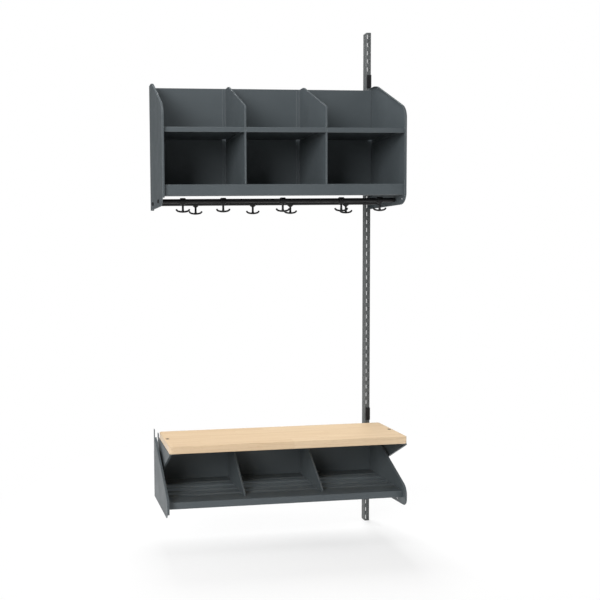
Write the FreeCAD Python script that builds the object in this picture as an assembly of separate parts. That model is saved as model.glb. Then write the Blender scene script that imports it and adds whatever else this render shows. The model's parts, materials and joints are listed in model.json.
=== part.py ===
import FreeCAD, Part
import math
import os

os.makedirs("parts", exist_ok=True)

# Wall-hung cloakroom section: hat shelf, swivel coat hooks, bench seat and shoe shelf on one slotted upright.
# Millimetres. X runs to the right, Y into the wall, Z up.
# The origin is on the wall, behind the middle of the upright's foot.
# "Depth" counts forwards from the upright's front face, which the end panels hang on.

# Slotted upright
upright_width = 20.0
upright_depth = 30.0
upright_sheet = 2.0
upright_bend = 3.0
slot_pitch = 32.0
slot_count = 62
slot_height = 16.0
slot_width = 4.0
slot_row_spacing = 10.0
wall_hole_diameter = 6.5
wall_hole_pitch_count = 15

# Hanging tongues that drop into the slots
tongue_height = 12.0
tongue_drop = 8.0
tongue_thickness = 3.0
tongue_clearance = 0.3
hanging_flange = 11.0

# Lock blocks over the hung ends
block_width = 18.0
block_height = 50.0
block_thickness = 6.0
block_edge = 1.2
block_peg_clearance = 0.3
block_peg_reach = 3.0

# Whole section
section_width = 900.0
end_sheet = 2.0
end_bend = 1.5
shelf_sheet = 1.5
shelf_bend = 3.0
fit_clearance = 0.2

# Hat shelf
slots_below_hat_count = 54
hat_top_over_slot = 20.0
hat_height = 480.0
hat_depth = 300.0
hat_front_height = 346.0
hat_top_flat = 54.0
hat_crest_radius = 90.0
hat_shoulder_radius = 60.0
hat_toe_radius = 40.0
hat_flange = 8.0
hat_tongue_foot = 40.0
hat_shelf_depth = 289.0
hat_floor_height = 74.5
hat_lip_height = 41.0
hat_lip_return = 12.0
hat_end_fold = 20.0
hat_back_drop = 8.0
mid_shelf_height = 276.0
mid_fold_height = 18.0
mid_end_fold = 12.0
mid_corner_notch = 16.0
mid_corner_notch_depth = 13.0
bay_count = 3
divider_drop = 10.0
divider_front_height = 350.0
divider_top_flat = 50.0
divider_crest_radius = 40.0
divider_shoulder_radius = 10.0
divider_flange = 6.0
divider_rear_flange = 12.0

# Hook rails
rail_height = 21.0
rail_diameter = 16.0
rail_wall = 1.5
rail_front_depth = 210.0
rail_rear_depth = 72.0
spare_hole_depth = 266.0
spare_hole_diameter = 7.0
plug_length = 16.0
plug_clearance = 0.05
rail_bolt_diameter = 8.0
rail_bolt_head = 14.0
rail_bolt_head_height = 5.0
rail_bolt_reach = 12.0
bolt_clearance = 0.2
thread_clearance = 0.05

# Swivel hooks, alternating between the two rails on one grid
hook_grid = 75.0
hook_shift = 13.7
front_hook_steps = (-5, -3, 0, 3, 5)
rear_hook_steps = (-4, -1, 1, 4)
hook_drop = 41.8
hook_belly_radius = 64.0
hook_belly_angle = 15.0
hook_end_radius = 11.5
hook_end_angle = 58.0
hook_wire = 6.6
hook_tip = 7.0
stem_diameter = 7.8
stem_head_diameter = 12.0
stem_head_height = 2.5
stem_clearance = 0.05
head_clearance = 0.3
head_lift = 0.1
tube_clearance = 0.5
collar_diameter = 23.5
collar_length = 20.0
collar_edge = 2.5
collar_bore_clearance = 0.1
boss_top_diameter = 19.0
boss_diameter = 12.0
boss_drop = 14.0
boss_height = 8.0
grub_diameter = 4.0
grub_sink = 0.4

# Bench seat, as long as the section and set over to the right
seat_depth = 240.0
seat_thickness = 28.0
seat_below_bracket_top = 13.0
seat_front_depth = 286.0
seat_shift = 16.0
seat_edge = 3.0
seat_corner = 8.0
seat_bolt_inset = 13.0
seat_bolt_diameter = 8.0
seat_bolt_head = 14.2
seat_bolt_head_height = 4.6
seat_bolt_sink = 5.0
seat_counterbore = 15.0
seat_bolt_tail = 3.0
washer_diameter = 16.0
washer_thickness = 1.6
nut_width = 13.0
nut_height = 6.5

# Seat brackets
slots_below_bracket_count = 12
bracket_top_over_slot = 6.0
bracket_tail_width = 20.0
bracket_rear_height = 182.0
bracket_nose_height = 5.0
bracket_nose_setback = 3.0
bracket_top_flange = 26.0
bracket_flange = 8.0
bracket_tongue_slots = (0, 1)
bracket_hanging_height = 62.0

# Shoe shelf
slots_below_shoe_count = 9
shoe_depth = 320.0
shoe_foot_below_slot = 154.0
shoe_toe_rise = 16.0
shoe_toe_radius = 28.0
shoe_nose_over_foot = 86.0
shoe_nose_radius = 45.0
shoe_head_depth = 22.0
shoe_head_clearance = 1.0
shoe_ear_over_foot = 273.0
shoe_ear_setback = 3.0
shoe_ear_clearance = 6.0
shoe_flange = 8.5
shoe_flange_top_over_slot = 26.0
shoe_flange_margin = 3.0
shoe_tongue_slots = (0, 4)
shoe_floor_over_foot = 67.0
shoe_floor_depth = 289.0
shoe_lip_height = 25.5
shoe_lip_return = 12.0
shoe_end_fold = 22.0
groove_count = 4
groove_first_depth = 66.0
groove_pitch = 49.0
groove_width = 18.0
groove_depth = 5.5
groove_bend = 2.5
shoe_back_lap = 17.0
shoe_back_over_foot = 235.0
shoe_back_clearance = 0.5
shoe_divider_over_foot = 234.0
shoe_divider_head_depth = 40.0
shoe_divider_toe_height = 8.0
shoe_divider_toe_setback = 38.0
shoe_divider_flange = 6.0
link_hole_depth = 243.0
link_hole_over_foot = 24.0
link_hole_diameter = 8.0

# Rivets that hold the shelves to the end panels
rivet_diameter = 4.0
rivet_head = 8.0
rivet_head_height = 1.5
rivet_hole_clearance = 0.05
rivet_drop = 11.0
rivet_depths = (60.0, 240.0)

cut_margin = 10.0

# Places worked out from the sizes above
upright_height = slot_pitch * slot_count
row_offset = slot_row_spacing / 2
right_inner = upright_width / 2
right_outer = right_inner + end_sheet
left_outer = right_outer - section_width
left_inner = left_outer + end_sheet
inner_width = right_inner - left_inner
back_front = end_sheet + shelf_sheet
bay_width = (inner_width - (bay_count - 1) * shelf_sheet) / bay_count


def slot_middle(index):
    """Height of the middle of a slot, counted from the foot."""
    return slot_pitch * (index + 0.5)


hat_top = slot_middle(slots_below_hat_count) + hat_top_over_slot
hat_bottom = hat_top - hat_height
hat_floor_top = hat_bottom + hat_floor_height
mid_top = hat_bottom + mid_shelf_height
rail_middle = hat_bottom + rail_height
seat_left = left_outer + seat_shift
seat_right = seat_left + section_width
seat_rear_depth = seat_front_depth - seat_depth
bracket_top = slot_middle(slots_below_bracket_count) + bracket_top_over_slot
seat_bottom = bracket_top - seat_below_bracket_top
seat_top = seat_bottom + seat_thickness
shoe_foot = slot_middle(slots_below_shoe_count) - shoe_foot_below_slot
shoe_floor_top = shoe_foot + shoe_floor_over_foot
shoe_back_top = shoe_foot + shoe_back_over_foot
shoe_ear_top = shoe_foot + shoe_ear_over_foot
shoe_flange_top = slot_middle(slots_below_shoe_count) + shoe_flange_top_over_slot
hook_middle = (left_outer + right_outer) / 2 + hook_shift


def at(across, depth, height):
    """A point from its place across, its depth in front of the upright and its height."""
    return FreeCAD.Vector(across, -(upright_depth + depth), height)


RIGHTWARDS = FreeCAD.Vector(1, 0, 0)
FORWARDS = FreeCAD.Vector(0, -1, 0)
UPWARDS = FreeCAD.Vector(0, 0, 1)


def unit(start, end):
    """Direction from one flat point to another."""
    run = end[0] - start[0]
    rise = end[1] - start[1]
    length = math.hypot(run, rise)
    return run / length, rise / length


def closed_face(corners, place):
    """A flat face with (u, v, radius) corners, each radius an arc, put in space by place(u, v)."""
    entries = []
    exits = []
    middles = []
    for index, (u, v, radius) in enumerate(corners):
        before = unit((u, v), corners[index - 1])
        after = unit((u, v), corners[(index + 1) % len(corners)])
        if radius <= 0:
            entries.append((u, v))
            exits.append((u, v))
            middles.append(None)
            continue
        half = math.acos(max(-1.0, min(1.0, before[0] * after[0] + before[1] * after[1]))) / 2
        tangent = radius / math.tan(half)
        inside = unit((0, 0), (before[0] + after[0], before[1] + after[1]))
        reach = radius / math.sin(half) - radius
        entries.append((u + before[0] * tangent, v + before[1] * tangent))
        exits.append((u + after[0] * tangent, v + after[1] * tangent))
        middles.append((u + inside[0] * reach, v + inside[1] * reach))
    edges = []
    for index in range(len(corners)):
        if middles[index]:
            three = [place(*point) for point in (entries[index], middles[index], exits[index])]
            edges.append(Part.Arc(*three).toShape())
        following = (index + 1) % len(corners)
        if math.dist(exits[index], entries[following]) > 1e-6:
            edges.append(Part.LineSegment(place(*exits[index]), place(*entries[following])).toShape())
    return Part.Face(Part.Wire(edges))


def side_prism(corners, across, width):
    """A (depth, height) outline, made width wide from its place across."""
    face = closed_face(corners, lambda depth, height: at(across, depth, height))
    return face.extrude(RIGHTWARDS * width)


def plan_prism(corners, height, thickness):
    """An (across, depth) outline, made thick upwards from its height."""
    face = closed_face(corners, lambda across, depth: at(across, depth, height))
    return face.extrude(UPWARDS * thickness)


def block(across, depth, height):
    """A box between two values in each direction."""
    size = [abs(pair[1] - pair[0]) for pair in (across, depth, height)]
    corner = at(min(across), max(depth), min(height))
    return Part.makeBox(size[0], size[1], size[2], corner)


def rod(diameter, start, direction, length):
    """A round bar from its start."""
    return Part.makeCylinder(diameter / 2, length, start, direction)


def joined(shapes):
    """One solid from shapes that share material."""
    whole = shapes[0].multiFuse(shapes[1:]) if len(shapes) > 1 else shapes[0]
    return whole.removeSplitter()


def sharp(points):
    """Corners with no radius."""
    return [(u, v, 0) for u, v in points]


def moved_line(start, end, distance):
    """A line moved to its left."""
    along = unit(start, end)
    shift = (-along[1] * distance, along[0] * distance)
    return (start[0] + shift[0], start[1] + shift[1]), along


def crossing(first, second):
    """Where two (point, direction) lines meet."""
    (point, along), (other, across) = first, second
    turn = along[0] * across[1] - along[1] * across[0]
    gap = (other[0] - point[0], other[1] - point[1])
    reach = (gap[0] * across[1] - gap[1] * across[0]) / turn
    return point[0] + along[0] * reach, point[1] + along[1] * reach


def inset(corners, walls):
    """An anticlockwise outline moved inwards by a wall for each edge, edge i leaving corner i."""
    lines = []
    for index, wall in enumerate(walls):
        lines.append(moved_line(corners[index][:2], corners[(index + 1) % len(corners)][:2], wall))
    moved = []
    for index, (u, v, radius) in enumerate(corners):
        point = crossing(lines[index - 1], lines[index])
        wall = max(walls[index - 1], walls[index])
        moved.append((point[0], point[1], max(radius - wall, 0)))
    return moved


def flanged_plate(corners, flanged, sheet, flange, face, inwards):
    """A sheet in a side plane, with a flange turned inwards along the flanged edges."""
    walls = [sheet if index in flanged else -cut_margin for index in range(len(corners))]
    solid = side_prism(corners, face, inwards * flange)
    hollow = side_prism(inset(corners, walls), face + inwards * sheet, inwards * (flange + cut_margin))
    return solid.cut(hollow)


def bent_edges(shape, corners, flanged, face):
    """The outer edges of a plate's face that its flanges are folded from."""
    picked = []
    for edge in shape.Edges:
        if edge.BoundBox.XLength > 1e-6 or abs(edge.BoundBox.XMin - face) > 1e-6:
            continue
        middle = edge.valueAt((edge.FirstParameter + edge.LastParameter) / 2)
        spot = (-middle.y - upright_depth, middle.z)
        on_plain_edge = False
        for index in range(len(corners)):
            start = corners[index][:2]
            along = unit(start, corners[(index + 1) % len(corners)])
            off = (spot[0] - start[0]) * along[1] - (spot[1] - start[1]) * along[0]
            on_plain_edge = on_plain_edge or (index not in flanged and abs(off) < 1e-4)
        if not on_plain_edge:
            picked.append(edge)
    return picked


def folded(path, sheet, bend):
    """Outline of a bent sheet that lies on the left of a path of its outer face."""
    lines = []
    for start, end in zip(path, path[1:]):
        lines.append(moved_line(start, end, sheet))
    outer = []
    inner = []
    for index, point in enumerate(path):
        if index in (0, len(path) - 1):
            line = lines[0] if index == 0 else lines[-1]
            foot = line[0]
            if index:
                length = math.dist(path[-2], path[-1])
                foot = (foot[0] + line[1][0] * length, foot[1] + line[1][1] * length)
            outer.append((point[0], point[1], 0))
            inner.append((foot[0], foot[1], 0))
            continue
        before, after = lines[index - 1][1], lines[index][1]
        turns_left = before[0] * after[1] - before[1] * after[0] > 0
        corner = crossing(lines[index - 1], lines[index])
        outer.append((point[0], point[1], bend if turns_left else bend - sheet))
        inner.append((corner[0], corner[1], bend - sheet if turns_left else bend))
    return outer + inner[::-1]


def tongues(across, slots, sheet):
    """Hooked tongues in a side plane that rest on the lower edges of the slots."""
    behind = -(upright_sheet + tongue_clearance)
    pieces = []
    for index in slots:
        seat = slot_middle(index) - slot_height / 2
        profile = [
            (sheet, seat),
            (sheet, seat + tongue_height),
            (behind - tongue_thickness, seat + tongue_height),
            (behind - tongue_thickness, seat - tongue_drop),
            (behind, seat - tongue_drop),
            (behind, seat),
        ]
        pieces.append(side_prism(sharp(profile), across - sheet / 2, sheet))
    return pieces


def save(name, shape):
    """Writes one node, and stops on a shape that isn't a sound solid."""
    if not shape.isValid() or not shape.Solids:
        raise RuntimeError(name + " is not a sound solid")
    shape.exportStep("parts/" + name + ".step")
    print(name, len(shape.Solids), round(shape.Volume))


def make_upright():
    half = upright_width / 2
    path = [(-half, -upright_depth), (-half, 0), (half, 0), (half, -upright_depth)]
    section = folded(path[::-1], upright_sheet, upright_bend)
    channel = plan_prism(section, 0, upright_height)
    cuts = []
    for index in range(slot_count):
        middle = slot_middle(index)
        reach = (middle - slot_height / 2, middle + slot_height / 2)
        for row in (-row_offset, row_offset):
            sides = (row - slot_width / 2, row + slot_width / 2)
            cuts.append(block(sides, (-upright_sheet - cut_margin, cut_margin), reach))
    hole_count = (slot_count - 2) // wall_hole_pitch_count + 1
    for index in range(hole_count):
        height = slot_pitch * (1 + wall_hole_pitch_count * index)
        start = at(0, -upright_sheet - cut_margin, height)
        cuts.append(rod(wall_hole_diameter, start, FORWARDS, upright_sheet + 2 * cut_margin))
    save("wall_upright", channel.cut(Part.makeCompound(cuts)))


def make_lock_block(name, first_slot):
    lower, upper = slot_middle(first_slot), slot_middle(first_slot + 1)
    middle = (lower + upper) / 2
    half_width, half_height = block_width / 2, block_height / 2
    reach = (middle - half_height, middle + half_height)
    body = block((-half_width, half_width), (0, block_thickness), reach)
    front = [edge for edge in body.Edges if abs(edge.CenterOfMass.y + upright_depth + block_thickness) < 1e-6]
    body = body.makeFillet(block_edge, front)
    pieces = [body]
    for row in (-row_offset, row_offset):
        half_peg = slot_width / 2 - block_peg_clearance
        low_peg = max(lower - slot_height / 2 + block_peg_clearance, middle - half_height)
        high_peg = min(upper + slot_height / 2 - block_peg_clearance, middle + half_height)
        gap = slot_height / 2 - block_peg_clearance
        sides = (row - half_peg, row + half_peg)
        for heights in ((low_peg, lower + gap), (upper - gap, high_peg)):
            pieces.append(block(sides, (-block_peg_reach, block_thickness / 2), heights))
    save(name, joined(pieces))


def hat_outline():
    return [
        (0, hat_bottom, 0),
        (hat_depth, hat_bottom, hat_toe_radius),
        (hat_depth, hat_bottom + hat_front_height, hat_shoulder_radius),
        (hat_top_flat, hat_top, hat_crest_radius),
        (0, hat_top, 0),
    ]


def side_holes(holes):
    """Cutters across both end panels, from (depth, height, diameter) values."""
    length = section_width + 2 * cut_margin
    cutters = []
    for depth, height, diameter in holes:
        cutters.append(rod(diameter, at(left_outer - cut_margin, depth, height), RIGHTWARDS, length))
    return cutters


def make_hat_ends():
    corners = hat_outline()
    flanged = (1, 2, 3)
    holes = []
    for depth in (rail_front_depth, rail_rear_depth):
        holes.append((depth, rail_middle, rail_bolt_diameter + 2 * bolt_clearance))
    holes.append((spare_hole_depth, rail_middle, spare_hole_diameter))
    for depth in rivet_depths:
        holes.append((depth, hat_floor_top - rivet_drop, rivet_diameter + 2 * rivet_hole_clearance))
    for name, face, inwards in (("hat_end_left", left_outer, 1), ("hat_end_right", right_outer, -1)):
        plate = flanged_plate(corners, flanged, end_sheet, hat_flange, face, inwards)
        plate = plate.makeFillet(end_bend, bent_edges(plate, corners, flanged, face))
        flange_edge = face + inwards * (end_sheet + hanging_flange)
        flange = block((face, flange_edge), (0, end_sheet), (hat_bottom, hat_top))
        row = face + inwards * (end_sheet + upright_width / 2 - row_offset)
        lowest_step = int((hat_height - hat_top_over_slot - hat_tongue_foot) // slot_pitch)
        slots = [slots_below_hat_count - step for step in (0, 1, lowest_step)]
        pieces = [plate, flange] + tongues(row, slots, end_sheet)
        save(name, joined(pieces).cut(Part.makeCompound(side_holes(holes))))


def make_hat_back():
    low = hat_floor_top - shelf_sheet
    sides = (left_inner + fit_clearance, right_inner - fit_clearance)
    save("hat_back_panel", block(sides, (end_sheet, back_front), (low, hat_top - hat_back_drop)))


def end_folds(low, high, depths, sheet):
    """Folds turned down at both ends of a shelf that spans the section."""
    pieces = []
    for face, inwards in ((left_inner + fit_clearance, 1), (right_inner - fit_clearance, -1)):
        pieces.append(block((face, face + inwards * sheet), depths, (low, high)))
    return pieces


def rivet_cutters(height):
    return side_holes([(depth, height, rivet_diameter + 2 * rivet_hole_clearance) for depth in rivet_depths])


def make_bottom_shelf():
    lip_bottom = hat_floor_top - hat_lip_height
    path = [
        (hat_shelf_depth - hat_lip_return, lip_bottom),
        (hat_shelf_depth, lip_bottom),
        (hat_shelf_depth, hat_floor_top),
        (back_front, hat_floor_top),
    ]
    width = inner_width - 2 * fit_clearance
    floor = side_prism(folded(path, shelf_sheet, shelf_bend), left_inner + fit_clearance, width)
    depths = (back_front, hat_shelf_depth - 2 * shelf_bend)
    folds = end_folds(hat_floor_top - hat_end_fold, hat_floor_top, depths, shelf_sheet)
    shelf = joined([floor] + folds)
    save("hat_bottom_shelf", shelf.cut(Part.makeCompound(rivet_cutters(hat_floor_top - rivet_drop))))


def bay_sides(index):
    """Left and right faces of a bay."""
    left = left_inner + index * (bay_width + shelf_sheet)
    return left, left + bay_width


def make_mid_shelves():
    for index, side in enumerate(("left", "centre", "right")):
        left, right = bay_sides(index)
        left += fit_clearance
        right -= fit_clearance
        fold_left = left - shelf_sheet + divider_flange
        path = [
            (hat_shelf_depth, mid_top - mid_fold_height),
            (hat_shelf_depth, mid_top),
            (back_front, mid_top),
        ]
        plate = side_prism(folded(path, shelf_sheet, shelf_bend), left, right - left)
        low = mid_top - mid_fold_height - cut_margin
        strip = (hat_shelf_depth - shelf_sheet - fit_clearance, hat_shelf_depth + cut_margin)
        clear_flange = block((left - cut_margin, fold_left), strip, (low, mid_top + cut_margin))
        clear_corner = block(
            (right - mid_corner_notch, right + cut_margin),
            (back_front - cut_margin, back_front + mid_corner_notch_depth),
            (low, mid_top + cut_margin),
        )
        plate = plate.cut(Part.makeCompound([clear_flange, clear_corner]))
        pieces = [plate]
        low_edge = mid_top - mid_end_fold
        front = hat_shelf_depth - 2 * shelf_bend
        pieces.append(block((left, left + shelf_sheet), (back_front, front), (low_edge, mid_top)))
        behind = back_front + mid_corner_notch_depth
        pieces.append(block((right - shelf_sheet, right), (behind, front), (low_edge, mid_top)))
        save("hat_mid_shelf_" + side, joined(pieces))


def make_hat_dividers():
    top = hat_top - divider_drop
    corners = [
        (back_front, hat_floor_top, 0),
        (hat_shelf_depth, hat_floor_top, 0),
        (hat_shelf_depth, hat_bottom + divider_front_height, divider_shoulder_radius),
        (divider_top_flat, top, divider_crest_radius),
        (back_front, top, 0),
    ]
    for index, side in enumerate(("left", "right")):
        face = bay_sides(index)[1]
        plate = flanged_plate(corners, (1, 2, 3), shelf_sheet, divider_flange, face, 1)
        rear_edge = face - divider_rear_flange
        rear_depths = (back_front, back_front + shelf_sheet)
        rear = block((rear_edge, face + shelf_sheet), rear_depths, (hat_floor_top, top))
        save("hat_divider_" + side, joined([plate, rear]))


def make_rails():
    inner = rail_diameter - 2 * rail_wall
    plugs = []
    bolts = []
    for name, depth in (("hook_rail_front", rail_front_depth), ("hook_rail_rear", rail_rear_depth)):
        start = at(left_inner, depth, rail_middle)
        tube = rod(rail_diameter, start, RIGHTWARDS, inner_width)
        save(name, tube.cut(rod(inner, start, RIGHTWARDS, inner_width)))
        for face, inwards in ((left_inner, 1), (right_inner, -1)):
            towards = RIGHTWARDS * inwards
            plug = rod(inner - 2 * plug_clearance, at(face, depth, rail_middle), towards, plug_length)
            thread = rail_bolt_diameter + 2 * thread_clearance
            plugs.append(plug.cut(rod(thread, at(face, depth, rail_middle), towards, plug_length)))
            outside = at(face - inwards * end_sheet, depth, rail_middle)
            head = rod(rail_bolt_head, outside, towards * -1, rail_bolt_head_height)
            rim_place = outside.x - inwards * rail_bolt_head_height
            rim = [edge for edge in head.Edges if abs(edge.CenterOfMass.x - rim_place) < 1e-6]
            head = head.makeFillet(rail_bolt_head_height / 2, rim)
            shank = rod(rail_bolt_diameter, outside, towards, end_sheet + rail_bolt_reach)
            bolts.append(joined([head, shank]))
    save("rail_plugs", Part.makeCompound(plugs))
    save("rail_bolts", Part.makeCompound(bolts))


def hook_places():
    """(across, depth) of each hook, from left to right."""
    front = [(hook_middle + hook_grid * step, rail_front_depth) for step in front_hook_steps]
    rear = [(hook_middle + hook_grid * step, rail_rear_depth) for step in rear_hook_steps]
    return sorted(front + rear)


head_top = rail_middle - rail_diameter / 2 - tube_clearance
head_bottom = head_top - stem_head_height
pocket_floor = head_bottom - head_lift


def make_collar(across, depth):
    middle = at(across, depth, rail_middle)
    ring = rod(collar_diameter, middle - RIGHTWARDS * (collar_length / 2), RIGHTWARDS, collar_length)
    rims = [edge for edge in ring.Edges if edge.Curve.TypeId == "Part::GeomCircle"]
    ring = ring.makeFillet(collar_edge, rims)
    foot = at(across, depth, rail_middle - boss_drop)
    boss = Part.makeCone(boss_diameter / 2, boss_top_diameter / 2, boss_height, foot, UPWARDS)
    tube = rail_diameter + 2 * collar_bore_clearance
    cuts = [rod(tube, middle - RIGHTWARDS * collar_length, RIGHTWARDS, 2 * collar_length)]
    below = foot - UPWARDS * cut_margin
    cuts.append(rod(stem_diameter + 2 * stem_clearance, below, UPWARDS, boss_drop + cut_margin))
    pocket = at(across, depth, pocket_floor)
    cuts.append(rod(stem_head_diameter + 2 * head_clearance, pocket, UPWARDS, rail_middle - pocket_floor))
    cuts.append(rod(grub_diameter + 2 * thread_clearance, middle, FORWARDS * -1, collar_diameter))
    return ring.fuse(boss).cut(Part.makeCompound(cuts)).removeSplitter()


def hook_arc(centre, section_foot, start_angle, turn):
    """A bent piece of the wire, swept round a centre from one angle to the next."""
    wire = Part.Wire(Part.makeCircle(hook_wire / 2, section_foot, RIGHTWARDS))
    section = Part.Face(wire)
    section.rotate(centre, FORWARDS, start_angle)
    return section.revolve(centre, FORWARDS, turn)


def make_hook(across, depth):
    """A wire with a shallow belly and two ends that turn up, under a round stem with a head."""
    low = rail_middle - hook_drop + hook_wire / 2
    bottom = at(across, depth, low)
    belly_centre = bottom + UPWARDS * hook_belly_radius
    pieces = [hook_arc(belly_centre, bottom, -hook_belly_angle, 2 * hook_belly_angle)]
    lean = math.radians(hook_belly_angle)
    tip_lean = math.radians(hook_end_angle)
    centre_reach = (hook_belly_radius - hook_end_radius) * math.sin(lean)
    centre_rise = hook_belly_radius - (hook_belly_radius - hook_end_radius) * math.cos(lean)
    for side in (-1, 1):
        centre = bottom + RIGHTWARDS * (side * centre_reach) + UPWARDS * centre_rise
        foot = centre - UPWARDS * hook_end_radius
        turn = hook_end_angle - hook_belly_angle
        pieces.append(hook_arc(centre, foot, side * hook_belly_angle, side * turn))
        tip_reach = RIGHTWARDS * (side * hook_end_radius * math.sin(tip_lean))
        tip = centre + tip_reach - UPWARDS * (hook_end_radius * math.cos(tip_lean))
        pieces.append(Part.makeSphere(hook_tip / 2, tip))
    pieces.append(rod(stem_diameter, bottom, UPWARDS, head_top - low))
    pieces.append(rod(stem_head_diameter, at(across, depth, head_bottom), UPWARDS, stem_head_height))
    return joined(pieces)


def make_hooks():
    grubs = []
    for number, (across, depth) in enumerate(hook_places(), 1):
        save("hook_collar_%d" % number, make_collar(across, depth))
        save("hook_%d" % number, make_hook(across, depth))
        tip = at(across, depth - rail_diameter / 2 - collar_bore_clearance, rail_middle)
        length = (collar_diameter - rail_diameter) / 2 - collar_bore_clearance - grub_sink
        grubs.append(rod(grub_diameter, tip, FORWARDS * -1, length))
    save("collar_grub_screws", Part.makeCompound(grubs))


seat_bolt_depth = seat_front_depth - seat_depth / 2


def seat_bolt_places():
    return seat_left + seat_bolt_inset, seat_right - seat_bolt_inset


def make_seat():
    plan = [
        (seat_left, seat_front_depth, seat_corner),
        (seat_right, seat_front_depth, seat_corner),
        (seat_right, seat_rear_depth, seat_corner),
        (seat_left, seat_rear_depth, seat_corner),
    ]
    board = plan_prism(plan, seat_bottom, seat_thickness)
    rims = [edge for edge in board.Edges if edge.BoundBox.ZLength < 1e-6]
    board = board.makeFillet(seat_edge, rims)
    cuts = []
    bolts = []
    washers = []
    nuts = []
    under = seat_bottom - end_sheet
    seat_face = seat_top - seat_bolt_sink
    hole = seat_bolt_diameter + 2 * bolt_clearance
    thread = seat_bolt_diameter + 2 * thread_clearance
    nut_top = under - washer_thickness
    nut_low = nut_top - nut_height
    bolt_end = nut_low - seat_bolt_tail
    for across in seat_bolt_places():
        cuts.append(rod(hole, at(across, seat_bolt_depth, seat_bottom), UPWARDS, seat_thickness))
        rest = at(across, seat_bolt_depth, seat_face)
        cuts.append(rod(seat_counterbore, rest, UPWARDS, seat_bolt_sink + cut_margin))
        head = rod(seat_bolt_head, rest, UPWARDS, seat_bolt_head_height)
        shank = rod(seat_bolt_diameter, at(across, seat_bolt_depth, bolt_end), UPWARDS, seat_face - bolt_end)
        bolts.append(joined([head, shank]))
        below = at(across, seat_bolt_depth, nut_top)
        washer = rod(washer_diameter, below, UPWARDS, washer_thickness)
        washers.append(washer.cut(rod(hole, below, UPWARDS, washer_thickness)))
        corners = []
        for side in range(6):
            angle = math.radians(60 * side)
            reach = nut_width / 2 / math.cos(math.radians(30))
            corners.append((across + reach * math.cos(angle), seat_bolt_depth + reach * math.sin(angle)))
        nut = plan_prism(sharp(corners), nut_low, nut_height)
        nuts.append(nut.cut(rod(thread, at(across, seat_bolt_depth, nut_low), UPWARDS, nut_height)))
    save("seat_board", board.cut(Part.makeCompound(cuts)))
    save("seat_bolts", Part.makeCompound(bolts))
    save("seat_washers", Part.makeCompound(washers))
    save("seat_nuts", Part.makeCompound(nuts))


def make_seat_brackets():
    nose = seat_front_depth - bracket_nose_setback
    corners = [
        (0, bracket_top - bracket_rear_height, 0),
        (nose, seat_bottom - bracket_nose_height, 0),
        (nose, seat_bottom, 0),
        (bracket_tail_width, seat_bottom, 0),
        (bracket_tail_width, bracket_top, 0),
        (0, bracket_top, 0),
    ]
    slots = [slots_below_bracket_count - step for step in bracket_tongue_slots]
    hole = seat_bolt_diameter + 2 * bolt_clearance
    left_bolt, right_bolt = seat_bolt_places()
    sides = (
        ("seat_bracket_left", seat_left, 1, left_bolt),
        ("seat_bracket_right", seat_right, -1, right_bolt),
    )
    for name, face, inwards, bolt in sides:
        plate = side_prism(corners, face, inwards * end_sheet)
        stiffener = flanged_plate(corners, (0,), end_sheet, bracket_flange, face, inwards)
        top_edge = face + inwards * bracket_top_flange
        top_depths = (seat_rear_depth, nose)
        top = block((face, top_edge), top_depths, (seat_bottom - end_sheet, seat_bottom))
        pieces = [plate, stiffener, top]
        if inwards > 0:
            pieces += tongues(face + end_sheet / 2, slots, end_sheet)
        else:
            row = -row_offset
            reach = (bracket_top - bracket_hanging_height, bracket_top)
            pieces.append(block((row - end_sheet, face), (0, end_sheet), reach))
            pieces += tongues(row, slots, end_sheet)
        bore = rod(hole, at(bolt, seat_bolt_depth, seat_bottom - end_sheet), UPWARDS, end_sheet)
        save(name, joined(pieces).cut(bore))


def make_shoe_ends():
    head = seat_bottom - shoe_head_clearance
    step = bracket_top - bracket_hanging_height - shoe_ear_clearance
    lower = [
        (0, shoe_foot, 0),
        (shoe_depth, shoe_foot + shoe_toe_rise, shoe_toe_radius),
        (shoe_depth, shoe_foot + shoe_nose_over_foot, shoe_nose_radius),
        (shoe_head_depth, head, 0),
        (0, head, 0),
    ]
    flanged = (1, 2)
    holes = [(link_hole_depth, shoe_foot + link_hole_over_foot, link_hole_diameter)]
    for depth in rivet_depths:
        holes.append((depth, shoe_floor_top - rivet_drop, rivet_diameter + 2 * rivet_hole_clearance))
    slots = [slots_below_shoe_count - step_down for step_down in shoe_tongue_slots]
    ends = (
        ("shoe_end_left", left_outer, 1, shoe_ear_top),
        ("shoe_end_right", right_outer, -1, bracket_top),
    )
    for name, face, inwards, ear_top in ends:
        plate = flanged_plate(lower, flanged, end_sheet, shoe_flange, face, inwards)
        plate = plate.makeFillet(end_bend, bent_edges(plate, lower, flanged, face))
        ear_corners = [
            (0, shoe_foot),
            (shoe_head_depth, head),
            (shoe_head_depth, ear_top),
            (shoe_ear_setback, ear_top),
            (shoe_ear_setback, step),
            (0, step),
        ]
        ear = side_prism(sharp(ear_corners), face, inwards * end_sheet)
        rear_gap = block(
            (face - inwards * cut_margin, face + inwards * cut_margin),
            (-cut_margin, shoe_ear_setback),
            (step, shoe_ear_top + cut_margin),
        )
        flange_edge = face + inwards * (end_sheet + hanging_flange)
        reach = (shoe_foot + shoe_flange_margin, shoe_flange_top)
        flange = block((face, flange_edge), (0, end_sheet), reach)
        row = face + inwards * (end_sheet + upright_width / 2 - row_offset)
        whole = joined([plate, ear, flange] + tongues(row, slots, end_sheet))
        save(name, whole.cut(Part.makeCompound([rear_gap] + side_holes(holes))))


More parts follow.
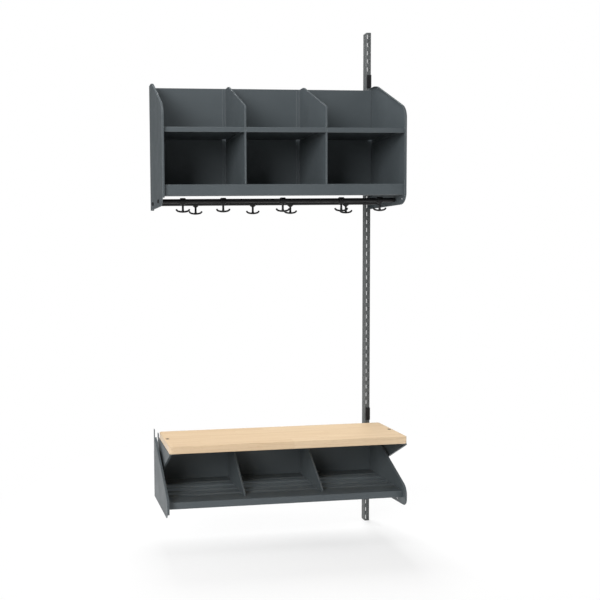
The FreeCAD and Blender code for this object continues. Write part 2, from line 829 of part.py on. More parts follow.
def make_shoe_floor():
    lip_bottom = shoe_floor_top - shoe_lip_height
    path = [
        (shoe_floor_depth - shoe_lip_return, lip_bottom),
        (shoe_floor_depth, lip_bottom),
        (shoe_floor_depth, shoe_floor_top),
    ]
    for index in reversed(range(groove_count)):
        middle = groove_first_depth + groove_pitch * index
        half_top = groove_width / 2
        half_bottom = half_top - groove_depth
        path.append((middle + half_top, shoe_floor_top))
        path.append((middle + half_bottom, shoe_floor_top - groove_depth))
        path.append((middle - half_bottom, shoe_floor_top - groove_depth))
        path.append((middle - half_top, shoe_floor_top))
    path.append((back_front, shoe_floor_top))
    width = inner_width - 2 * fit_clearance
    floor = side_prism(folded(path, shelf_sheet, groove_bend), left_inner + fit_clearance, width)
    depths = (back_front, shoe_floor_depth - 2 * shelf_bend)
    folds = end_folds(shoe_floor_top - shoe_end_fold, shoe_floor_top, depths, shelf_sheet)
    shelf = joined([floor] + folds)
    save("shoe_floor", shelf.cut(Part.makeCompound(rivet_cutters(shoe_floor_top - rivet_drop))))


def make_shoe_back():
    low = shoe_floor_top - shoe_back_lap
    sides = (left_inner + fit_clearance, right_inner - fit_clearance)
    sheet = block(sides, (end_sheet, back_front), (low, shoe_back_top))
    bracket_edge = seat_left + bracket_flange + shoe_back_clearance
    above = shoe_floor_top + shoe_back_clearance
    gap = block((left_outer, bracket_edge), (0, back_front + cut_margin), (above, shoe_back_top + cut_margin))
    save("shoe_back_panel", sheet.cut(gap))


def make_shoe_dividers():
    top = shoe_foot + shoe_divider_over_foot
    toe_depth = shoe_floor_depth - shoe_divider_toe_setback
    corners = [
        (back_front, shoe_floor_top, 0),
        (toe_depth, shoe_floor_top, 0),
        (toe_depth, shoe_floor_top + shoe_divider_toe_height, 0),
        (shoe_divider_head_depth, top, 0),
        (back_front, top, 0),
    ]
    for index, side in enumerate(("left", "right")):
        face = bay_sides(index)[1]
        plate = flanged_plate(corners, (1, 2), shelf_sheet, shoe_divider_flange, face, 1)
        save("shoe_divider_" + side, plate.removeSplitter())


def make_rivets():
    for name, floor in (("hat_rivets", hat_floor_top), ("shoe_rivets", shoe_floor_top)):
        height = floor - rivet_drop
        rivets = []
        for outer, inwards in ((left_outer, 1), (right_outer, -1)):
            towards = RIGHTWARDS * inwards
            grip = end_sheet + fit_clearance + shelf_sheet
            for depth in rivet_depths:
                shank = rod(rivet_diameter, at(outer, depth, height), towards, grip)
                head = rod(rivet_head, at(outer + inwards * grip, depth, height), towards, rivet_head_height)
                rivets.append(joined([shank, head]))
        save(name, Part.makeCompound(rivets))


make_upright()
make_lock_block("lock_block_upper", slots_below_hat_count + 1)
make_lock_block("lock_block_lower", slots_below_bracket_count + 1)
make_hat_ends()
make_hat_back()
make_bottom_shelf()
make_mid_shelves()
make_hat_dividers()
make_rails()
make_hooks()
make_seat()
make_seat_brackets()
make_shoe_ends()
make_shoe_floor()
make_shoe_back()
make_shoe_dividers()
make_rivets()
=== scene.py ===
import json
import math

import bmesh
import bpy
from mathutils import Matrix, Vector


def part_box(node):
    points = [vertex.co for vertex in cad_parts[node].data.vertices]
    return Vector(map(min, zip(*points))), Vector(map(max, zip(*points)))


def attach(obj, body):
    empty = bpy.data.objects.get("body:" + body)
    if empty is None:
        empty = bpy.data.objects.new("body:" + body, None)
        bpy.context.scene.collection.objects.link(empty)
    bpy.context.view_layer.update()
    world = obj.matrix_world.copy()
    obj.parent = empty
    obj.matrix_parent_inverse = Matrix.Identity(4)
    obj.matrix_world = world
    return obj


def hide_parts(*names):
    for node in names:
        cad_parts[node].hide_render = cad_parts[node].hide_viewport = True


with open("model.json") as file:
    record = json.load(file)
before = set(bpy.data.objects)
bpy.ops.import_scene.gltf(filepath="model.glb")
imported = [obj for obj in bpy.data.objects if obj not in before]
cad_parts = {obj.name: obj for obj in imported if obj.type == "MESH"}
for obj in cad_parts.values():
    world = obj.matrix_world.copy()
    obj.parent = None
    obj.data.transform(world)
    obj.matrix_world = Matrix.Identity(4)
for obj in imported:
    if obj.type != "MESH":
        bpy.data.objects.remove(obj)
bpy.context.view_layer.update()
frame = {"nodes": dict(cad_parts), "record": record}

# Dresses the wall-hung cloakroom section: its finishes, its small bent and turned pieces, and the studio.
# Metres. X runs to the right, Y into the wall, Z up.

nodes = frame["nodes"]
scene = bpy.context.scene
mm = 0.001

ACROSS = Vector((1.0, 0.0, 0.0))
FORWARDS = Vector((0.0, -1.0, 0.0))
UPWARDS = Vector((0.0, 0.0, 1.0))

# Sizes of the section, as the solids have them
left_outer = -888 * mm
right_outer = 12 * mm

# Hook rails and swivel hooks
rail_height = 1305 * mm
rail_front = -240 * mm
rail_rear = -102 * mm
hook_middle = -424.3 * mm
hook_grid = 75 * mm
front_hook_steps = (-5, -3, 0, 3, 5)
rear_hook_steps = (-4, -1, 1, 4)
hook_wire = 3.3 * mm
hook_tip = 3.5 * mm
hook_belly_radius = 64 * mm
hook_belly_angle = math.radians(15)
hook_end_radius = 11.5 * mm
hook_end_angle = math.radians(58)
hook_low = 1266.5 * mm
stem_radius = 3.9 * mm
stem_head_radius = 6 * mm
stem_head_low = 1294 * mm
stem_head_top = 1296.5 * mm
stem_head_chamfer = 0.5 * mm
stem_swell = ((0.0, -3.1), (2.6, -2.7), (4.2, -1.2), (4.9, 0.8), (5.0, 2.6), (4.6, 4.6), (4.1, 7.4))
stem_swell_top = 10.5 * mm

# Fasteners
rail_bolt_head = 7 * mm
rail_bolt_height = 5 * mm
rail_bolt_rounding = 2.5 * mm
rail_bolt_reach = 12 * mm
bolt_shank = 4 * mm
bolt_key = 5 * mm
bolt_key_depth_share = 0.6
bolt_point = 0.6 * mm
bolt_point_length = 0.8 * mm
seat_bolt_across = (-859 * mm, 15 * mm)
seat_bolt_depth = -196 * mm
seat_bolt_rest = 416 * mm
seat_bolt_head = 7.1 * mm
seat_bolt_height = 4.6 * mm
seat_bolt_rounding = 0.9 * mm
seat_nut_flats = 13 * mm
seat_nut_bore = 4.1 * mm
nut_chamfer_share = 0.06
nut_landing_share = 0.475
grub_radius = 2 * mm
grub_point = 0.7 * mm
grub_point_length = 0.6 * mm
grub_chamfer = 0.3 * mm
grub_key = 2 * mm
grub_key_depth = 1.3 * mm
rivet_depths = (-90 * mm, -270 * mm)
rivet_shank = 2 * mm
rivet_head = 4 * mm
rivet_grip = 3.7 * mm
rivet_dome = 1.5 * mm
rivet_dome_steps = 6
rivet_edge = 0.3 * mm

# Finger ridges of the lock blocks
ridge_steps = (-2, -1, 0, 1, 2)
ridge_pitch = 4.2 * mm
ridge_width = 13 * mm
ridge_thickness = 1.2 * mm
ridge_height = 1.8 * mm
ridge_stand = 0.2 * mm
ridge_rounding = 0.5 * mm

# Mesh tolerances, and the rim of a key hole
weld = 0.001 * mm
near = 0.01 * mm
sharp_from = math.radians(38)
ring_over_key = 0.62
key_rim = 0.1 * mm


# Node tools

def new_finish(name):
    finish = bpy.data.materials.new(name)
    finish.use_nodes = True
    shader = finish.node_tree.nodes["Principled BSDF"]
    return finish, finish.node_tree, shader


def add(tree, kind, **settings):
    node = tree.nodes.new(kind)
    for name, value in settings.items():
        setattr(node, name, value)
    return node


def join(tree, source, target):
    tree.links.new(source, target)


def fill(tree, socket, value):
    """Sets a socket to a plain value, or links it to another node's output."""
    if isinstance(value, bpy.types.NodeSocket):
        join(tree, value, socket)
    else:
        socket.default_value = value


def place_on_piece(tree, stretch=(1.0, 1.0, 1.0)):
    """Object coordinates, stretched."""
    coordinates = add(tree, "ShaderNodeTexCoord")
    mapping = add(tree, "ShaderNodeMapping")
    mapping.inputs["Scale"].default_value = stretch
    join(tree, coordinates.outputs["Object"], mapping.inputs["Vector"])
    return mapping.outputs["Vector"]


def cloud(tree, place, scale, detail=2.0, rough=0.5, swirl=0.0):
    noise = add(tree, "ShaderNodeTexNoise")
    noise.inputs["Scale"].default_value = scale
    noise.inputs["Detail"].default_value = detail
    noise.inputs["Roughness"].default_value = rough
    noise.inputs["Distortion"].default_value = swirl
    join(tree, place, noise.inputs["Vector"])
    return noise.outputs["Fac"]


def span(tree, source, low, high, to_low, to_high):
    """Stretches one range of values over another and cuts off what lies outside."""
    node = add(tree, "ShaderNodeMapRange", clamp=True)
    node.inputs["From Min"].default_value = low
    node.inputs["From Max"].default_value = high
    node.inputs["To Min"].default_value = to_low
    node.inputs["To Max"].default_value = to_high
    join(tree, source, node.inputs["Value"])
    return node.outputs["Result"]


def sum_of(tree, kind, first, second):
    node = add(tree, "ShaderNodeMath", operation=kind)
    fill(tree, node.inputs[0], first)
    fill(tree, node.inputs[1], second)
    return node.outputs["Value"]


def tint(tree, share, first, second):
    """Goes from one colour to the other as the share goes from 0 to 1."""
    node = add(tree, "ShaderNodeMix", data_type="RGBA")
    fill(tree, node.inputs["Factor"], share)
    fill(tree, node.inputs["A"], first)
    fill(tree, node.inputs["B"], second)
    return node.outputs["Result"]


def relief(tree, height, strength, depth, under=None):
    node = add(tree, "ShaderNodeBump")
    node.inputs["Strength"].default_value = strength
    node.inputs["Distance"].default_value = depth
    join(tree, height, node.inputs["Height"])
    if under is not None:
        join(tree, under, node.inputs["Normal"])
    return node.outputs["Normal"]


def soft_edges(tree, radius):
    """A rounded normal at every folded or cut edge, and how close the edge is."""
    rounded = add(tree, "ShaderNodeBevel", samples=4)
    rounded.inputs["Radius"].default_value = radius
    surface = add(tree, "ShaderNodeNewGeometry")
    likeness = add(tree, "ShaderNodeVectorMath", operation="DOT_PRODUCT")
    join(tree, rounded.outputs["Normal"], likeness.inputs[0])
    join(tree, surface.outputs["Normal"], likeness.inputs[1])
    return rounded.outputs["Normal"], span(tree, likeness.outputs["Value"], 0.99, 0.80, 0.0, 1.0)


# Finishes

def colour(red, green, blue):
    return (red, green, blue, 1.0)


def powder_coat(name, tone, deep, lighter_tone, gloss, peel, shine):
    """Baked powder coat: cloudy tone, fine specks, lighter edges that are partly rubbed wear and partly a
    painted highlight, and an orange-peel skin.
    """
    finish, tree, shader = new_finish(name)
    place = place_on_piece(tree)
    drift = span(tree, cloud(tree, place, 5.0, 3.0), 0.3, 0.7, 0.0, 1.0)
    skin = tint(tree, drift, tone, deep)
    specks = span(tree, cloud(tree, place, 1400.0, 1.0), 0.58, 0.74, 0.0, 0.3)
    skin = tint(tree, specks, skin, lighter_tone)
    # The edges are tinted towards the lighter tone in patches: partly rubbed wear, partly a painted
    # highlight on the rounded folds.
    rounded, edge = soft_edges(tree, 2.6 * mm)
    patchy = span(tree, cloud(tree, place, 60.0, 4.0, 0.6), 0.42, 0.66, 0.4, 0.9)
    lighter_edge_share = sum_of(tree, "MULTIPLY", edge, patchy)
    skin = tint(tree, lighter_edge_share, skin, lighter_tone)
    join(tree, skin, shader.inputs["Base Color"])
    handled = cloud(tree, place, 14.0, 4.0, 0.55)
    join(tree, span(tree, handled, 0.3, 0.7, gloss - 0.05, gloss + 0.07), shader.inputs["Roughness"])
    coarse = relief(tree, cloud(tree, place, 260.0, 2.0), 0.10, 0.3 * mm, rounded)
    fine = relief(tree, cloud(tree, place, 900.0, 2.0), peel, 0.15 * mm, coarse)
    join(tree, fine, shader.inputs["Normal"])
    shader.inputs["IOR"].default_value = shine
    return finish


def moulded_plastic(name, tone, deep, lighter_tone):
    """Black moulded plastic with a spark-eroded grain."""
    finish, tree, shader = new_finish(name)
    place = place_on_piece(tree)
    drift = span(tree, cloud(tree, place, 30.0, 3.0), 0.3, 0.7, 0.0, 1.0)
    skin = tint(tree, drift, tone, deep)
    rounded, edge = soft_edges(tree, 0.6 * mm)
    scuffs = span(tree, cloud(tree, place, 180.0, 4.0, 0.65), 0.5, 0.7, 0.0, 0.6)
    lighter_edge_share = sum_of(tree, "MULTIPLY", edge, scuffs)
    join(tree, tint(tree, lighter_edge_share, skin, lighter_tone), shader.inputs["Base Color"])
    grain = cloud(tree, place, 1600.0, 2.0)
    join(tree, span(tree, grain, 0.3, 0.7, 0.48, 0.62), shader.inputs["Roughness"])
    join(tree, relief(tree, grain, 0.25, 0.2 * mm, rounded), shader.inputs["Normal"])
    shader.inputs["IOR"].default_value = 1.35
    return finish


def zinc_plate(name):
    """Bright zinc on steel: milky patches, faint turning lines and brighter edges."""
    finish, tree, shader = new_finish(name)
    place = place_on_piece(tree)
    milky = span(tree, cloud(tree, place, 120.0, 4.0, 0.6), 0.35, 0.65, 0.0, 1.0)
    skin = tint(tree, milky, colour(0.55, 0.56, 0.58), colour(0.70, 0.71, 0.71))
    rounded, edge = soft_edges(tree, 0.4 * mm)
    join(tree, tint(tree, edge, skin, colour(0.82, 0.82, 0.82)), shader.inputs["Base Color"])
    lines = cloud(tree, place_on_piece(tree, (1.0, 1.0, 12.0)), 700.0, 2.0)
    join(tree, span(tree, milky, 0.0, 1.0, 0.28, 0.44), shader.inputs["Roughness"])
    join(tree, relief(tree, lines, 0.12, 0.1 * mm, rounded), shader.inputs["Normal"])
    shader.inputs["Metallic"].default_value = 1.0
    return finish


def lacquered_beech(name):
    """Glued beech staves under a satin lacquer: tone steps, long streaks and short flecks."""
    finish, tree, shader = new_finish(name)
    stave_width = 40 * mm
    stave_length = 450 * mm
    coordinates = add(tree, "ShaderNodeTexCoord")
    parts = add(tree, "ShaderNodeSeparateXYZ")
    join(tree, coordinates.outputs["Object"], parts.inputs["Vector"])
    row = sum_of(tree, "FLOOR", sum_of(tree, "DIVIDE", parts.outputs["Y"], stave_width), 0.0)
    row_start = add(tree, "ShaderNodeTexWhiteNoise", noise_dimensions="1D")
    join(tree, row, row_start.inputs["W"])
    along = sum_of(tree, "DIVIDE", parts.outputs["X"], stave_length)
    shifted = sum_of(tree, "ADD", along, row_start.outputs["Value"])
    stave = add(tree, "ShaderNodeCombineXYZ")
    join(tree, sum_of(tree, "FLOOR", shifted, 0.0), stave.inputs["X"])
    join(tree, row, stave.inputs["Y"])
    own = add(tree, "ShaderNodeTexWhiteNoise", noise_dimensions="3D")
    join(tree, stave.outputs["Vector"], own.inputs["Vector"])
    moved = add(tree, "ShaderNodeVectorMath", operation="ADD")
    join(tree, coordinates.outputs["Object"], moved.inputs[0])
    join(tree, own.outputs["Color"], moved.inputs[1])

    def along_grain(stretch):
        mapping = add(tree, "ShaderNodeMapping")
        mapping.inputs["Scale"].default_value = stretch
        join(tree, moved.outputs["Vector"], mapping.inputs["Vector"])
        return mapping.outputs["Vector"]

    pale = colour(0.735, 0.565, 0.375)
    warm = colour(0.660, 0.480, 0.300)
    streak = colour(0.560, 0.385, 0.225)
    wood = tint(tree, span(tree, own.outputs["Value"], 0.0, 1.0, 0.0, 0.7), pale, warm)
    growth = cloud(tree, along_grain((2.5, 70.0, 70.0)), 1.0, 5.0, 0.6, 1.2)
    wood = tint(tree, span(tree, growth, 0.45, 0.75, 0.0, 0.5), wood, streak)
    pores = cloud(tree, along_grain((60.0, 900.0, 900.0)), 1.0, 2.0)
    flecks = span(tree, pores, 0.60, 0.72, 0.0, 0.7)
    wood = tint(tree, flecks, wood, streak)
    rounded, edge = soft_edges(tree, 1.2 * mm)
    wood = tint(tree, sum_of(tree, "MULTIPLY", edge, 0.35), wood, colour(0.80, 0.66, 0.48))
    join(tree, wood, shader.inputs["Base Color"])
    join(tree, span(tree, growth, 0.3, 0.7, 0.40, 0.52), shader.inputs["Roughness"])
    open_grain = relief(tree, pores, 0.12, 0.2 * mm, rounded)
    join(tree, relief(tree, growth, 0.10, 0.4 * mm, open_grain), shader.inputs["Normal"])
    shader.inputs["Coat Weight"].default_value = 0.25
    shader.inputs["Coat Roughness"].default_value = 0.3
    return finish


slate = powder_coat(
    "slate_powder_coat",
    tone=colour(0.081, 0.096, 0.104),
    deep=colour(0.072, 0.086, 0.094),
    # This lighter tone is bright enough to paint the highlight on the folded front edges as well as the
    # wear.
    lighter_tone=colour(0.235, 0.254, 0.266),
    gloss=0.48,
    peel=0.10,
    shine=1.42,
)
upright_grey = powder_coat(
    "upright_grey_coat",
    tone=colour(0.104, 0.111, 0.112),
    deep=colour(0.092, 0.099, 0.100),
    lighter_tone=colour(0.220, 0.228, 0.230),
    gloss=0.46,
    peel=0.08,
    shine=1.42,
)
satin_black = powder_coat(
    "satin_black_coat",
    tone=colour(0.010, 0.010, 0.011),
    deep=colour(0.007, 0.007, 0.008),
    lighter_tone=colour(0.060, 0.060, 0.062),
    gloss=0.42,
    peel=0.08,
    shine=1.32,
)
black_plastic = moulded_plastic(
    "black_moulded_plastic",
    tone=colour(0.013, 0.013, 0.014),
    deep=colour(0.009, 0.009, 0.010),
    lighter_tone=colour(0.050, 0.050, 0.052),
)
zinc = zinc_plate("bright_zinc")
beech = lacquered_beech("lacquered_beech_staves")

finish_for_slot = {
    "slate_coat": slate,
    "upright_coat": upright_grey,
    "black_coat": satin_black,
    "black_plastic": black_plastic,
    "zinc": zinc,
    "beech": beech,
}


def dress_solids():
    """Gives every solid that stays in view its finish."""
    for row in frame["record"]["subparts"]:
        solid = nodes[row["node"]]
        for holder in solid.material_slots:
            holder.material = finish_for_slot[row["material_slot"]]


# Piece tools

def put_up(name, shape, body, slot, *replaced):
    """Makes a piece of a shape, gives it its finish and sets it on its body."""
    bmesh.ops.remove_doubles(shape, verts=shape.verts, dist=weld)
    bmesh.ops.recalc_face_normals(shape, faces=shape.faces)
    mesh = bpy.data.meshes.new(name)
    shape.to_mesh(mesh)
    shape.free()
    mesh.polygons.foreach_set("use_smooth", [True] * len(mesh.polygons))
    mesh.set_sharp_from_angle(angle=sharp_from)
    mesh.materials.append(finish_for_slot[slot])
    piece = bpy.data.objects.new(name, mesh)
    scene.collection.objects.link(piece)
    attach(piece, body)
    if replaced:
        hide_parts(*replaced)


def turned(shape, profile, foot, axis, steps=32):
    """Spins a profile of (radius, height) round an axis that stands on the foot point."""
    side = axis.orthogonal().normalized()
    points = [shape.verts.new(foot + side * radius + axis * height) for radius, height in profile]
    lines = [shape.edges.new(pair) for pair in zip(points, points[1:])]
    bmesh.ops.spin(
        shape,
        geom=points + lines,
        cent=foot,
        axis=axis,
        angle=2 * math.pi,
        steps=steps,
        use_merge=True,
    )


def quarter_round(radius, height, rounding, steps=5):
    """The outline of a rim that rounds over from its side to its top."""
    outline = []
    for step in range(steps + 1):
        angle = math.pi / 2 * step / steps
        reach = radius - rounding + rounding * math.cos(angle)
        outline.append((reach, height - rounding + rounding * math.sin(angle)))
    return outline


def hex_socket(shape, middle, axis, ring, flats, depth):
    """Closes a round opening in a head with a flat rim and a six-sided key hole."""
    rim = [
        edge for edge in shape.edges
        if edge.is_boundary and all(abs((vert.co - middle).length - ring) < near for vert in edge.verts)
    ]
    face = bmesh.ops.edgeloop_fill(shape, edges=rim)["faces"][0]
    bmesh.ops.inset_individual(shape, faces=[face], thickness=key_rim)
    side = axis.orthogonal().normalized()
    ahead = axis.cross(side)
    for vert in face.verts:
        reach = vert.co - middle
        angle = math.atan2(reach.dot(ahead), reach.dot(side))
        from_flat = (angle % math.radians(60)) - math.radians(30)
        length = flats / 2 / math.cos(from_flat)
        vert.co = middle + (side * math.cos(angle) + ahead * math.sin(angle)) * length
    pit = bmesh.ops.extrude_discrete_faces(shape, faces=[face])["faces"][0]
    bmesh.ops.translate(shape, verts=pit.verts, vec=axis * -depth)


def socket_head_bolt(shape, rest, axis, radius, height, rounding, shank, reach, flats):
    """A round-headed key bolt that rests on a face, with its shank behind it."""
    ring = flats * ring_over_key
    profile = [
        (0.0, -reach),
        (shank - bolt_point, -reach),
        (shank, -reach + bolt_point_length),
        (shank, 0.0),
        (radius, 0.0),
    ]
    profile += quarter_round(radius, height, rounding)
    profile.append((ring, height))
    turned(shape, profile, rest, axis, steps=36)
    bmesh.ops.remove_doubles(shape, verts=shape.verts, dist=weld)
    hex_socket(shape, rest + axis * height, axis, ring, flats, height * bolt_key_depth_share)


def hex_nut(shape, foot, flats, height, bore):
    """A six-sided nut with an open bore and chamfers at both faces."""
    rim = flats / 2
    chamfer = flats * nut_chamfer_share
    landing = flats * nut_landing_share
    profile = [
        (bore, 0.0),
        (landing, 0.0),
        (rim, chamfer),
        (rim, height - chamfer),
        (landing, height),
        (bore, height),
        (bore, 0.0),
    ]
    turned(shape, profile, foot, UPWARDS, steps=36)
    for vert in shape.verts:
        reach = (vert.co - foot).to_2d()
        if abs(reach.length - rim) < near:
            from_flat = (math.atan2(reach.y, reach.x) % math.radians(60)) - math.radians(30)
            stretched = foot.to_2d() + reach / math.cos(from_flat)
            vert.co = (stretched.x, stretched.y, vert.co.z)


# Coat hooks

def bent_on(shape, section, centre, angle, steps):
    """Carries the wire's end section on round a centre and gives the new end section."""
    swept = bmesh.ops.spin(shape, geom=section, cent=centre, axis=FORWARDS, angle=angle, steps=steps)
    return swept["geom_last"]


def hook_places():
    """(across, depth) of each hook, from left to right."""
    front = [(hook_middle + hook_grid * step, rail_front) for step in front_hook_steps]
    rear = [(hook_middle + hook_grid * step, rail_rear) for step in rear_hook_steps]
    return sorted(front + rear)


def make_hook(number, across, depth):
    """A double hook: a bent wire with a shallow belly and rounded ends, under a stem that swells into it."""
    low = Vector((across, depth, hook_low))
    belly_centre = low + UPWARDS * hook_belly_radius
    inner_reach = (hook_belly_radius - hook_end_radius) * math.sin(hook_belly_angle)
    inner_rise = hook_belly_radius - (hook_belly_radius - hook_end_radius) * math.cos(hook_belly_angle)
    end_centres = [low + ACROSS * (side * inner_reach) + UPWARDS * inner_rise for side in (-1, 1)]
    end_turn = hook_end_angle - hook_belly_angle
    shape = bmesh.new()
    ring = bmesh.ops.create_circle(shape, segments=20, radius=hook_wire)["verts"]
    foot = end_centres[0] - UPWARDS * hook_end_radius
    stand_up = Matrix.Translation(foot) @ Matrix.Rotation(math.radians(90), 4, "Y")
    bmesh.ops.transform(shape, matrix=stand_up, verts=ring)
    to_tip = Matrix.Rotation(-hook_end_angle, 4, FORWARDS)
    bmesh.ops.rotate(shape, cent=end_centres[0], matrix=to_tip, verts=ring)
    section = ring + list({edge for vert in ring for edge in vert.link_edges})
    section = bent_on(shape, section, end_centres[0], end_turn, 10)
    section = bent_on(shape, section, belly_centre, 2 * hook_belly_angle, 24)
    bent_on(shape, section, end_centres[1], end_turn, 10)
    for side, centre in zip((-1, 1), end_centres):
        tip = centre + ACROSS * (side * hook_end_radius * math.sin(hook_end_angle))
        tip -= UPWARDS * (hook_end_radius * math.cos(hook_end_angle))
        at_tip = Matrix.Translation(tip)
        bmesh.ops.create_uvsphere(shape, u_segments=20, v_segments=14, radius=hook_tip, matrix=at_tip)
    head_low = stem_head_low - hook_low
    head_top = stem_head_top - hook_low
    profile = [(radius * mm, height * mm) for radius, height in stem_swell]
    profile += [
        (stem_radius, stem_swell_top),
        (stem_radius, head_low),
        (stem_head_radius, head_low),
        (stem_head_radius, head_top - stem_head_chamfer),
        (stem_head_radius - stem_head_chamfer, head_top),
        (0.0, head_top),
    ]
    turned(shape, profile, low, UPWARDS)
    put_up("coat_hook_form_%d" % number, shape, "coat_hook_%d" % number, "black_coat", "hook_%d" % number)


# Fasteners

def make_rail_bolts():
    shape = bmesh.new()
    for depth in (rail_front, rail_rear):
        for face, outwards in ((left_outer, -ACROSS), (right_outer, ACROSS)):
            rest = Vector((face, depth, rail_height))
            socket_head_bolt(
                shape,
                rest,
                outwards,
                rail_bolt_head,
                rail_bolt_height,
                rail_bolt_rounding,
                bolt_shank,
                rail_bolt_reach,
                bolt_key,
            )
    put_up("rail_bolt_set", shape, "section", "black_coat", "rail_bolts")


def make_seat_bolts():
    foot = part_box("seat_bolts")[0].z
    shape = bmesh.new()
    for across in seat_bolt_across:
        socket_head_bolt(
            shape,
            Vector((across, seat_bolt_depth, seat_bolt_rest)),
            UPWARDS,
            seat_bolt_head,
            seat_bolt_height,
            seat_bolt_rounding,
            bolt_shank,
            seat_bolt_rest - foot,
            bolt_key,
        )
    put_up("seat_bolt_set", shape, "section", "black_coat", "seat_bolts")


def make_seat_nuts():
    low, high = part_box("seat_nuts")
    shape = bmesh.new()
    for across in seat_bolt_across:
        foot = Vector((across, seat_bolt_depth, low.z))
        hex_nut(shape, foot, seat_nut_flats, high.z - low.z, seat_nut_bore)
    put_up("seat_nut_set", shape, "section", "zinc", "seat_nuts")


def make_grub_screws():
    """One key screw in the back of each collar."""
    low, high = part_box("collar_grub_screws")
    tip = low.y - rail_front
    length = high.y - rail_rear - tip
    ring = grub_key * ring_over_key
    profile = [
        (0.0, 0.0),
        (grub_radius - grub_point, 0.0),
        (grub_radius, grub_point_length),
        (grub_radius, length - grub_chamfer),
        (grub_radius - grub_chamfer, length),
        (ring, length),
    ]
    shape = bmesh.new()
    for across, rail in hook_places():
        foot = Vector((across, rail + tip, rail_height))
        turned(shape, profile, foot, -FORWARDS, steps=24)
        bmesh.ops.remove_doubles(shape, verts=shape.verts, dist=weld)
        hex_socket(shape, foot - FORWARDS * length, -FORWARDS, ring, grub_key, grub_key_depth)
    put_up("grub_screw_set", shape, "section", "zinc", "collar_grub_screws")


def make_rivets(name, node):
    """Rivets flush with the end plates' outer faces, with domed heads inside the shelf's end folds."""
    low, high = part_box(node)
    height = (low.z + high.z) / 2
    profile = [
        (0.0, 0.0),
        (rivet_shank - rivet_edge, 0.0),
        (rivet_shank, rivet_edge),
        (rivet_shank, rivet_grip),
    ]
    for step in range(rivet_dome_steps + 1):
        angle = math.pi / 2 * step / rivet_dome_steps
        profile.append((rivet_head * math.cos(angle), rivet_grip + rivet_dome * math.sin(angle)))
    shape = bmesh.new()
    for depth in rivet_depths:
        for face, inwards in ((left_outer, ACROSS), (right_outer, -ACROSS)):
            turned(shape, profile, Vector((face, depth, height)), inwards, steps=24)
    put_up(name, shape, "section", "slate_coat", node)


def make_lock_grips():
    """Finger ridges on the front of both lock blocks."""
    shape = bmesh.new()
    for node in ("lock_block_upper", "lock_block_lower"):
        low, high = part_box(node)
        middle = (low.z + high.z) / 2
        for step in ridge_steps:
            place = Vector((0.0, low.y + ridge_stand, middle + step * ridge_pitch))
            size = Matrix.Diagonal((ridge_width, ridge_thickness, ridge_height, 1.0))
            set_out = Matrix.Translation(place) @ size
            ridge = bmesh.ops.create_cube(shape, size=1.0, matrix=set_out)["verts"]
            edges = list({edge for vert in ridge for edge in vert.link_edges})
            bmesh.ops.bevel(
                shape,
                geom=edges,
                offset=ridge_rounding,
                offset_type="OFFSET",
                affect="EDGES",
                segments=2,
                profile=0.5,
                material=-1,
            )
    put_up("lock_block_grips", shape, "section", "black_plastic")


# Studio

camera_place = (-1.2945, -2.9219, 1.1096)
camera_turn = (86.595, 0.843, -6.680)
camera_lens = 44.596
camera_sensor = 36.0
camera_shift = 0.2764
floor_reach = 10.0
floor_drop = 0.5 * mm
floor_mirrored = 0.3


def set_camera():
    eye = bpy.data.cameras.new("photo_view")
    eye.lens = camera_lens
    eye.sensor_width = camera_sensor
    eye.shift_x = camera_shift
    stand = bpy.data.objects.new("photo_view", eye)
    stand.location = camera_place
    stand.rotation_euler = [math.radians(angle) for angle in camera_turn]
    scene.collection.objects.link(stand)
    scene.camera = stand


def hang_lamp(name, place, aim, size, watts, mirrored=True):
    light = bpy.data.lights.new(name, "AREA")
    light.shape = "RECTANGLE"
    light.size, light.size_y = size
    light.energy = watts
    lamp = bpy.data.objects.new(name, light)
    lamp.location = place
    lamp.visible_glossy = mirrored
    lamp.rotation_euler = (Vector(aim) - Vector(place)).to_track_quat("-Z", "Y").to_euler()
    scene.collection.objects.link(lamp)


def seen_rays(tree, mirrored):
    """1 for rays from the camera, less for rays that a glossy coat mirrors, 0 for light on the object."""
    path = add(tree, "ShaderNodeLightPath")
    gloss = sum_of(tree, "MULTIPLY", path.outputs["Is Glossy Ray"], mirrored)
    seen = sum_of(tree, "MAXIMUM", path.outputs["Is Camera Ray"], gloss)
    return sum_of(tree, "MAXIMUM", seen, path.outputs["Is Transmission Ray"])


def set_surround(soft_light, mirrored):
    world = bpy.data.worlds.new("white_surround")
    world.use_nodes = True
    tree = world.node_tree
    sky = tree.nodes["Background"]
    sky.inputs["Color"].default_value = colour(1.0, 1.0, 1.0)
    seen = span(tree, seen_rays(tree, mirrored), 0.0, 1.0, soft_light, 1.0)
    join(tree, seen, sky.inputs["Strength"])
    scene.world = world


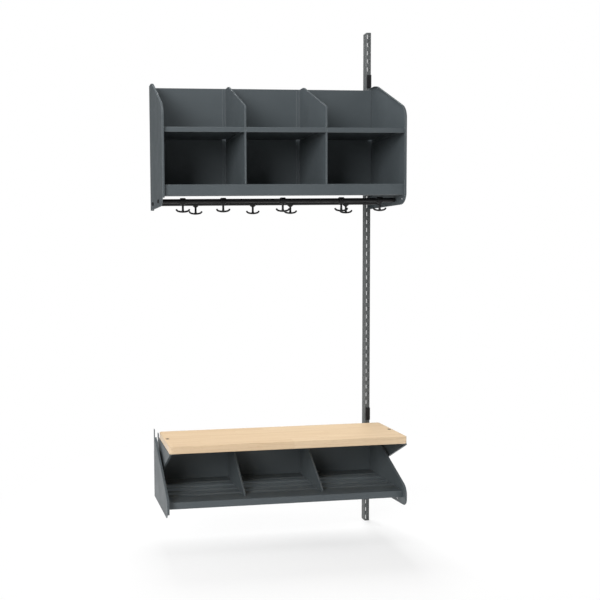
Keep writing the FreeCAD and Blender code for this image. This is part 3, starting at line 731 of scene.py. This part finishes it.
def lay_floor():
    """A pale floor that keeps the shadow near the object and runs out into white."""
    finish, tree, shader = new_finish("pale_floor")
    place = place_on_piece(tree)
    mottle = cloud(tree, place, 3.0, 4.0)
    join(
        tree,
        tint(tree, mottle, colour(0.90, 0.90, 0.90), colour(0.94, 0.94, 0.94)),
        shader.inputs["Base Color"],
    )
    shader.inputs["Roughness"].default_value = 0.8
    away = add(tree, "ShaderNodeVectorMath", operation="LENGTH")
    join(tree, place, away.inputs[0])
    far = span(tree, away.outputs["Value"], 0.35, 1.6, 0.70, 1.0)
    share = sum_of(tree, "MULTIPLY", far, seen_rays(tree, floor_mirrored))
    white = add(tree, "ShaderNodeEmission")
    both = add(tree, "ShaderNodeMixShader")
    join(tree, share, both.inputs["Fac"])
    join(tree, shader.outputs["BSDF"], both.inputs[1])
    join(tree, white.outputs["Emission"], both.inputs[2])
    join(tree, both.outputs["Shader"], tree.nodes["Material Output"].inputs["Surface"])
    shape = bmesh.new()
    bmesh.ops.create_grid(shape, x_segments=1, y_segments=1, size=floor_reach)
    bmesh.ops.translate(shape, verts=shape.verts, vec=UPWARDS * -floor_drop)
    mesh = bpy.data.meshes.new("studio_floor")
    shape.to_mesh(mesh)
    shape.free()
    mesh.materials.append(finish)
    floor = bpy.data.objects.new("studio_floor", mesh)
    scene.collection.objects.link(floor)


dress_solids()
for number, (across, depth) in enumerate(hook_places(), 1):
    make_hook(number, across, depth)
make_rail_bolts()
make_seat_bolts()
make_seat_nuts()
make_grub_screws()
make_rivets("hat_rivet_set", "hat_rivets")
make_rivets("shoe_rivet_set", "shoe_rivets")
make_lock_grips()

set_camera()
set_surround(soft_light=0.10, mirrored=0.12)
hang_lamp(
    "front_left_light",
    place=(-5.9, -6.1, 3.4),
    aim=(-0.44, -0.15, 1.0),
    size=(4.0, 4.0),
    watts=545.0,
)
hang_lamp(
    "shelf_light",
    place=(-0.9, -0.9, 3.0),
    aim=(-0.2, -0.2, 1.2),
    size=(1.2, 1.0),
    watts=14.0,
)
hang_lamp(
    "back_light",
    place=(-0.2, 2.0, 3.5),
    aim=(-0.44, -0.2, 0.6),
    size=(2.0, 2.0),
    watts=168.0,
    mirrored=False,
)
hang_lamp(
    "right_light",
    place=(3.2, -0.6, 3.2),
    aim=(-0.2, -0.2, 0.6),
    size=(2.0, 2.0),
    watts=25.0,
)
lay_floor()

scene.view_settings.view_transform = "Standard"
